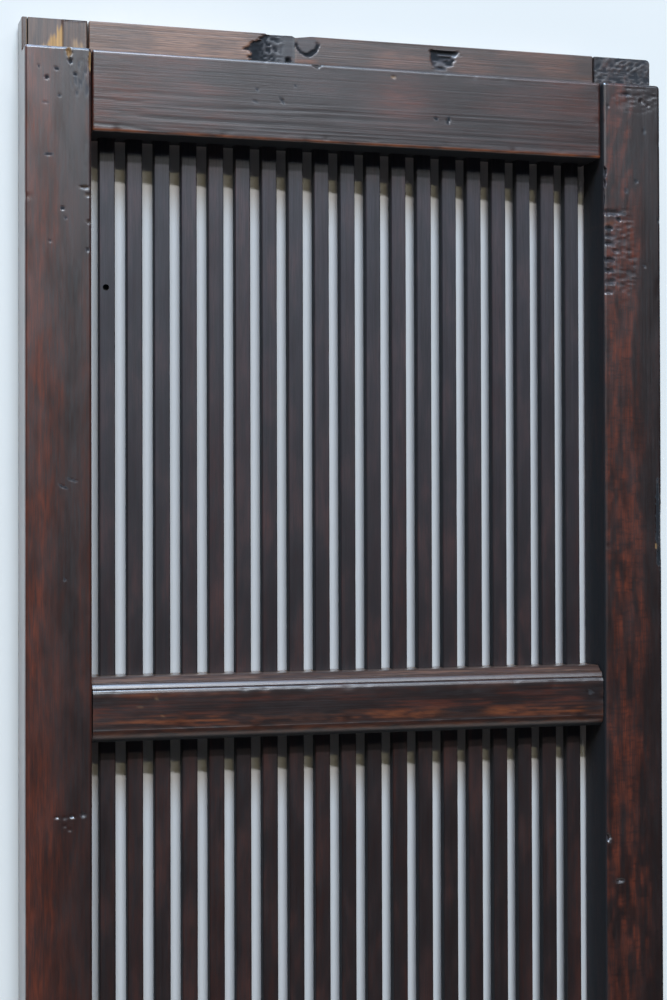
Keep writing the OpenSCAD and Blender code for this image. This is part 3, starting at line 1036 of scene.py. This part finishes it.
def build_mid_rails(leaf, wear, material, seed):
    """One moulded rail, with rows cut across its face and set back to the moulding's outline, is
    copied to each place, and every copy is worn, tenoned and slotted by itself."""
    low, high = box_mm(MID_RAILS[0])
    end = rail_end(leaf)
    pattern = start_block("mid_rail_pattern", (-end, low[Y], low[Z]), (end, high[Y], high[Z]))
    rows, top_run = moulding_rows(leaf, high[Z] - low[Z])
    under = leaf.under_round / MM
    behind_moulding = low[Y] + 14
    cut(Y, spread(behind_moulding, high[Y], cells=4))
    rows = [(low[Z] + height, depth) for height, depth in rows]
    cut(Z, [height for height, _ in rows])
    face_bottom = low[Z] + under
    cut(Z, spread(face_bottom + 1, face_bottom + leaf.face_height / MM, cells=9))
    same = 0.01
    for height, depth in [(low[Z], under), *rows, (high[Z], top_run)]:
        pick("VERT", lambda vert: abs(vert.co.z / MM - height) < same and vert.co.y / MM < low[Y] + same)
        bpy.ops.transform.translate(value=(0, depth * MM, 0))
    cut(X, spread(-end, end, cells=90))
    close_block(pattern, levels=1)
    for number, node in enumerate(MID_RAILS):
        bottom, top = box_mm(node)[0][Z], box_mm(node)[1][Z]
        piece = copy_piece(pattern, f"{node}_wood", (0, 0, bottom - low[Z]))
        surface = Surface(piece)
        face_top = bottom + under + leaf.face_height / MM
        planes = ([-end, end], [low[Y], high[Y]], [face_top, bottom + under])
        surface.age(X, planes, wear, seed + 20 * number, rub=0.4)
        tone_mid_rail(surface, bottom, face_top, seed + 20 * number)
        if number == 0:
            surface.scar(MID_RAIL_SCARS, seed + 11)
        surface.apply()
        combine(piece, boxes_object("tenon", [tenon_box(leaf, node, 0)]), "UNION")
        combine(piece, boxes_object("slot", slat_slots(leaf, (bottom - PROUD, top + PROUD))), "DIFFERENCE")
        finish_piece(piece, node, material)
    bpy.data.objects.remove(pattern)


def tone_mid_rail(surface, bottom, face_top, seed):
    """Dark red-brown face with orange streaks low on it, and a worn grey-brown top; painted shade in the
    lower groove and along the bottom, and a painted highlight from the quarter round up.
    """
    points = surface.points
    z = points[:, Z]
    front = -surface.normals[:, Y]
    streaks = fibre_noise(points, X, 1.2, 26, seed + 41) + 0.4 * fibre_noise(points, X, 0.9, 7, seed + 42)
    patches = smooth(fibre_noise(points, X, 7, 36, seed + 43), 0.35, 0.75)
    height = z - bottom
    on_face = smooth(height, 6, 9) * smooth(-z, -face_top - 0.5, -face_top)
    surface.red = on_face * (0.05 + 0.6 * smooth(streaks, 0.5, 1.0) * patches)
    surface.dark = on_face * (0.75 - 0.6 * patches)
    low_band = hill((height - 12.5) / 3.2)
    top_band = hill((z - face_top) / 1.8)
    streaked = np.maximum(low_band, 0.8 * top_band) * smooth(streaks, 0.5, 0.9) * (0.25 + 0.75 * patches)
    surface.lay("rub", on_face * streaked)
    # Painted shade along the lower groove
    surface.lay("dark", smooth(-np.abs(height - 8.25), -0.7, -0.4) * (front > -0.3))
    under = smooth(-height, -7.5, -5) * (front > 0)
    surface.lay("rub", 0.4 * under * smooth(height, 2, 4))
    # Painted shade: the bottom of the under-round and the underside are darkened
    surface.rot = 0.7 * smooth(-height, -4, -1.5) * (front > -0.3)
    on_top = smooth(z, face_top + 6.5, face_top + 7.5)
    ovolo = smooth(z, face_top + 2.4, face_top + 3.4)
    # A faint painted highlight from the quarter round up; the streaked grey-brown on the top slope is wear
    surface.aged_and_sheen = np.maximum(0.2 * ovolo, on_top * (0.15 + 0.4 * smooth(streaks, 0.5, 1.0)))


def build_slats(leaf, wear, material, seed):
    """One slat is modelled, then copied along the row, and every copy is worn by itself."""
    low, high = box_mm(SLATS[0])
    pattern = start_block("slat_pattern", low, high)
    cut(X, spread(low[X], high[X], cells=3))
    cut(Z, spread(low[Z], high[Z], cells=80))

    def is_upright(edge):
        return abs(edge.verts[0].co.z - edge.verts[1].co.z) > MM

    round_edges(is_upright, wear.slat_arris / MM, segments=1)
    close_block(pattern, levels=1)
    for number, node in enumerate(SLATS):
        place = box_mm(node)
        piece = copy_piece(pattern, f"{node}_wood", (place[0][X] - low[X], 0, 0))
        if number == 0:
            bore_peg_hole(piece, leaf)
        surface = Surface(piece)
        planes = ([place[0][X], place[1][X]], [low[Y], high[Y]], [low[Z], high[Z]])
        surface.age(Z, planes, wear, seed + 50 + 7 * number)
        surface.inward *= 0.3
        share = lattice_noise(np.array([[number * 0.73, 0.4, 0.2]]), seed)[0]
        streaks = fibre_noise(surface.points, Z, 6, 150, seed + 3 + number)
        surface.red = 0.06 + 0.12 * smooth(streaks * share, 0.15, 0.45)
        # Painted sheen, partly dust: the slats are made greyer and lighter towards the top
        surface.aged_and_sheen = 0.3 * smooth(surface.points[:, Z], 1150, 1650)
        # Painted shade: the slats' side faces are darkened
        surface.rot = 0.75 * smooth(np.abs(surface.normals[:, X]), 0.75, 0.98)
        surface.apply()
        finish_piece(piece, node, material)
    bpy.data.objects.remove(pattern)


def bore_peg_hole(piece, leaf):
    """The small blind hole that took a peg, at the place the frame has it."""
    low, _ = box_mm(SLATS[0])
    depth = leaf.peg_hole_depth / MM
    hole_in, hole_up = 4.4, 1528.5
    bpy.ops.object.select_all(action="DESELECT")
    bpy.ops.mesh.primitive_cylinder_add(
        vertices=32,
        radius=leaf.peg_hole / 2,
        depth=(depth + PROUD) * MM,
        location=((low[X] + hole_in) * MM, (low[Y] + (depth - PROUD) / 2) * MM, hole_up * MM),
        rotation=(math.pi / 2, 0, 0),
    )
    drill = bpy.context.object
    bpy.ops.object.transform_apply(location=True, rotation=True, scale=True)
    combine(piece, drill, "DIFFERENCE")


# Stage


def add_panel(name, watts, tint, size, place, target):
    """A soft rectangular lamp that looks at a target."""
    aim = Vector(target) - Vector(place)
    turn = aim.to_track_quat("-Z", "Y").to_euler()
    bpy.ops.object.light_add(type="AREA", location=place, rotation=turn)
    lamp = bpy.context.object
    lamp.name = name
    lamp.data.shape = "RECTANGLE"
    lamp.data.size, lamp.data.size_y = size
    lamp.data.energy = watts
    lamp.data.color = tint


def add_board(name, material, width, height, place, turn):
    """A flat board of the stage."""
    bpy.ops.object.select_all(action="DESELECT")
    bpy.ops.mesh.primitive_plane_add(size=1, location=place, rotation=turn)
    made = bpy.context.object
    made.name = name
    made.scale = (width, height, 1)
    bpy.ops.object.transform_apply(location=True, rotation=True, scale=True)
    made.data.materials.append(material)


def light_world(strength, tint):
    """A weak even light, which leaves the shadows under the rails dark."""
    world = bpy.data.worlds.new("weak_sky")
    bpy.context.scene.world = world
    world.use_nodes = True
    tree = world.node_tree
    tree.nodes.clear()
    sky = {"Color": (*tint, 1), "Strength": strength}
    glow = add_node(tree, "ShaderNodeBackground", sky).outputs["Background"]
    add_node(tree, "ShaderNodeOutputWorld", {"Surface": glow})


def add_camera(lens):
    """The camera at the photograph's place and angle, in the leaf's frame."""
    place = Vector((-372.8, -1242.0, 1373.1)) * MM
    yaw, pitch, roll = (math.radians(angle) for angle in (16.196, 0.746, -0.152))
    turn = (
        Matrix.Rotation(-yaw, 3, "Z")
        @ Matrix.Rotation(math.pi / 2 + pitch, 3, "X")
        @ Matrix.Rotation(roll, 3, "Z")
    )
    bpy.ops.object.camera_add(location=place, rotation=turn.to_euler())
    camera = bpy.context.object
    camera.data.lens = lens
    camera.data.sensor_width = 36
    camera.data.clip_start = 0.01
    bpy.context.scene.camera = camera


# Operators


class LATTICE_OT_stage(bpy.types.Operator):
    """Set the floor, the backdrop, the lamps and the camera"""

    bl_idname = "lattice.stage"
    bl_label = "Stage"

    def execute(self, context):
        stage, colours = context.scene.leaf_stage, context.scene.leaf_colours
        add_board("floor", board("pale_floor", colours.floor, False), 5, 3.4, (0, 0.7, 0), (0, 0, 0))
        paper = board("pale_backdrop", colours.backdrop, True)
        add_board("backdrop", paper, 3.2, 2.6, (0, 0.0205, 1.3), (math.pi / 2, 0, 0))
        # Painted shade: a greyer card behind the slats stands for the shaded wall between them
        shade_board = board("painted_shade_card", colours.shaded_backing, True)
        add_board("shaded_backing", shade_board, 0.43, 1.68, (0, 0.0203, 0.85), (math.pi / 2, 0, 0))
        light_world(stage.sky, stage.sky_tint)
        middle = (0, 0, 1.25)
        add_panel("white_tube", stage.key, stage.key_tint, (3.9, 0.18), (-0.75, -6, 6.14), middle)
        add_panel("warm_tube", stage.warm, stage.warm_tint, (2.0, 0.18), (-0.8, -6, 4.68), middle)
        add_panel("blue_panel", stage.panel, stage.sky_tint, (2.6, 2.1), (-0.7, -4.7, 7.0), middle)
        add_panel("low_panel", stage.low, stage.key_tint, (3.0, 1.0), (1.6, -5.6, 4.6), middle)
        add_panel("ceiling", stage.ceiling, stage.sky_tint, (2.6, 2.0), (-0.3, -1.6, 4.6), middle)
        add_panel("back_lamp", stage.behind, (1.0, 0.98, 0.95), (1.5, 1.5), (1.4, 2.4, 2.3), (0, 0, 1.0))
        add_camera(stage.lens)
        context.scene.view_settings.view_transform = "Standard"
        return {"FINISHED"}


def settings(context):
    """The leaf's sizes, wear and colours, as the panel has them."""
    scene = context.scene
    return scene.leaf_sizes, scene.leaf_wear, scene.leaf_colours


class LATTICE_OT_stiles(bpy.types.Operator):
    """Build the two stiles"""

    bl_idname = "lattice.stiles"
    bl_label = "Stiles"

    def execute(self, context):
        leaf, wear, colours = settings(context)
        plain = stile_wood(colours, "stained_softwood_upright", 0.0)
        build_stile("left_stile", leaf, wear, plain, wear.seed)
        rippled = stile_wood(colours, "stained_softwood_rippled", 0.5)
        build_stile("right_stile", leaf, wear, rippled, wear.seed + 100)
        return {"FINISHED"}


class LATTICE_OT_top_rail(bpy.types.Operator):
    """Build the top rail with its knot and its tongue"""

    bl_idname = "lattice.top_rail"
    bl_label = "Top rail"

    def execute(self, context):
        leaf, wear, colours = settings(context)
        build_end_rail("top_rail", leaf, wear, rail_wood(colours), wear.seed + 300)
        return {"FINISHED"}


class LATTICE_OT_mid_rails(bpy.types.Operator):
    """Build the three moulded mid rails"""

    bl_idname = "lattice.mid_rails"
    bl_label = "Mid rails"

    def execute(self, context):
        leaf, wear, colours = settings(context)
        build_mid_rails(leaf, wear, rail_wood(colours), wear.seed + 400)
        return {"FINISHED"}


class LATTICE_OT_bottom_rail(bpy.types.Operator):
    """Build the bottom rail"""

    bl_idname = "lattice.bottom_rail"
    bl_label = "Bottom rail"

    def execute(self, context):
        leaf, wear, colours = settings(context)
        build_end_rail("bottom_rail", leaf, wear, rail_wood(colours), wear.seed + 500)
        return {"FINISHED"}


class LATTICE_OT_slats(bpy.types.Operator):
    """Build the row of slats"""

    bl_idname = "lattice.slats"
    bl_label = "Slats"

    def execute(self, context):
        leaf, wear, colours = settings(context)
        build_slats(leaf, wear, slat_wood(colours), wear.seed)
        return {"FINISHED"}


class LATTICE_PT_leaf(bpy.types.Panel):
    """Sidebar panel with the steps that build the leaf"""

    bl_label = "Lattice Door"
    bl_space_type = "VIEW_3D"
    bl_region_type = "UI"
    bl_category = "Lattice Door"

    def draw(self, context):
        for step in STEPS:
            self.layout.operator(step.bl_idname)
        for group in GROUPS:
            settings = getattr(context.scene, group)
            box = self.layout.box()
            for name in settings.bl_rna.properties.keys():
                if name not in ("rna_type", "name"):
                    box.prop(settings, name)


STEPS = (
    LATTICE_OT_stage,
    LATTICE_OT_stiles,
    LATTICE_OT_top_rail,
    LATTICE_OT_mid_rails,
    LATTICE_OT_bottom_rail,
    LATTICE_OT_slats,
)
GROUPS = {
    "leaf_sizes": LeafSizes,
    "leaf_wear": LeafWear,
    "leaf_colours": LeafColours,
    "leaf_stage": LeafStage,
}


def register():
    for kind in (*GROUPS.values(), *STEPS, LATTICE_PT_leaf):
        bpy.utils.register_class(kind)
    for name, kind in GROUPS.items():
        setattr(bpy.types.Scene, name, PointerProperty(type=kind))


def unregister():
    for name in GROUPS:
        delattr(bpy.types.Scene, name)
    for kind in (LATTICE_PT_leaf, *reversed(STEPS), *reversed(GROUPS.values())):
        bpy.utils.unregister_class(kind)


def main():
    register()
    bpy.ops.lattice.stage()
    bpy.ops.lattice.stiles()
    bpy.ops.lattice.top_rail()
    bpy.ops.lattice.mid_rails()
    bpy.ops.lattice.bottom_rail()
    bpy.ops.lattice.slats()


if __name__ == "__main__":
    main()
